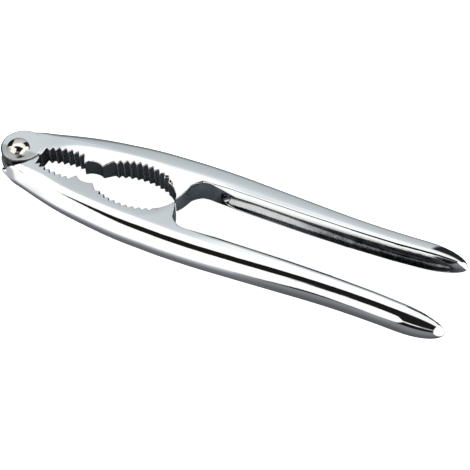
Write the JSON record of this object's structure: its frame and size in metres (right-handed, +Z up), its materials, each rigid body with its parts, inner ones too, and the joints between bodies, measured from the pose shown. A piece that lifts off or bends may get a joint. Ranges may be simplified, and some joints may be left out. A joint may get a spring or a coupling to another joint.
{
  "type": "nutcracker",
  "caption": "Plier-type nutcracker: toothed small and large recesses between cast levers, hollow-backed handles, riveted half-lap hinge.",
  "frame": {"origin": "on the rivet's axis, in the plane that the tool lies on, at the centre of the rivet's flat foot", "axes": "+X along the tool from the hinge to the handle tips, +Y towards the lever whose ear is on top, +Z up along the rivet"},
  "size_m": [0.1749, 0.0432, 0.0115],
  "materials": {
    "lever_chrome": "polished chrome plate on die-cast zinc",
    "rivet_steel": "polished nickel-plated steel"
  },
  "bodies": {
    "front": {"front_lever": "lever_chrome", "pivot_rivet": "rivet_steel"},
    "back": {"back_lever": "lever_chrome"}
  },
  "joints": [
    {"name": "lever_hinge", "type": "hinge", "parent": "front", "child": "back", "pos_m": [0, 0, 0.005], "axis": [0, 0, 1], "range_deg": [0, 80]}
  ]
}
